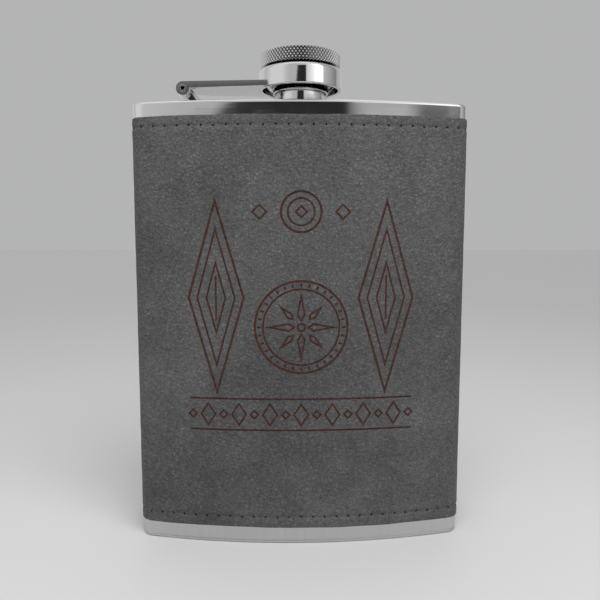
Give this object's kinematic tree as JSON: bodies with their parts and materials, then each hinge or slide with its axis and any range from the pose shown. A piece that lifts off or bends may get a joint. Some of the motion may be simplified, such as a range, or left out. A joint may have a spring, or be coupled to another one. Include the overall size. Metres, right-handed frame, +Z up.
{
  "type": "hip flask",
  "caption": "Flat kidney-section steel pocket flask in a stitched grey leather wrap, with a knurled screw cap held captive on a hinged arm.",
  "frame": {"origin": "middle of the base, on the surface that the flask stands on", "axes": "+Z up through the neck, -Y out of the convex front, +X to the right seen from the front, so the hinge lies towards -X"},
  "size_m": [0.0928, 0.0273, 0.1356],
  "materials": {
    "leather": "fine pebbled grey leather, matt",
    "thread": "waxed grey thread",
    "polished_steel": "polished stainless steel",
    "satin_steel": "satin brushed stainless steel",
    "knurled_steel": "diamond-knurled stainless steel",
    "seal": "soft white sealing disc"
  },
  "bodies": {
    "root": {"body_shell": "satin_steel", "top_pan": "polished_steel", "base_pan": "satin_steel", "neck": "polished_steel", "leather_wrap": "leather", "top_stitching": "thread", "bottom_stitching": "thread", "seam_stitching": "thread", "hinge_bracket": "polished_steel", "hinge_pin": "polished_steel"},
    "arm": {"swing_arm": "polished_steel", "cap_cup": "polished_steel"},
    "seal": {"seal_liner": "seal"},
    "cap": {"knurled_knob": "knurled_steel", "cap_rivet": "satin_steel", "inner_cap": "polished_steel"}
  },
  "joints": [
    {"name": "arm_swing", "type": "hinge", "parent": "root", "child": "arm", "pos_m": [-0.0318, -0.0024, 0.12575], "axis": [0, -1, 0], "range_deg": [0, 180]},
    {"name": "cap_rise", "type": "slide", "parent": "arm", "child": "seal", "axis": [0, 0, 1], "range_m": [0, 0.002]},
    {"name": "cap_turn", "type": "hinge", "parent": "seal", "child": "cap", "pos_m": [0, -0.0024, 0.127], "axis": [0, 0, 1], "range_deg": [0, 480]}
  ],
  "couplings": [
    {"joint": "cap_rise", "follows": "cap_turn", "m_per_rad": 0.00023873}
  ]
}
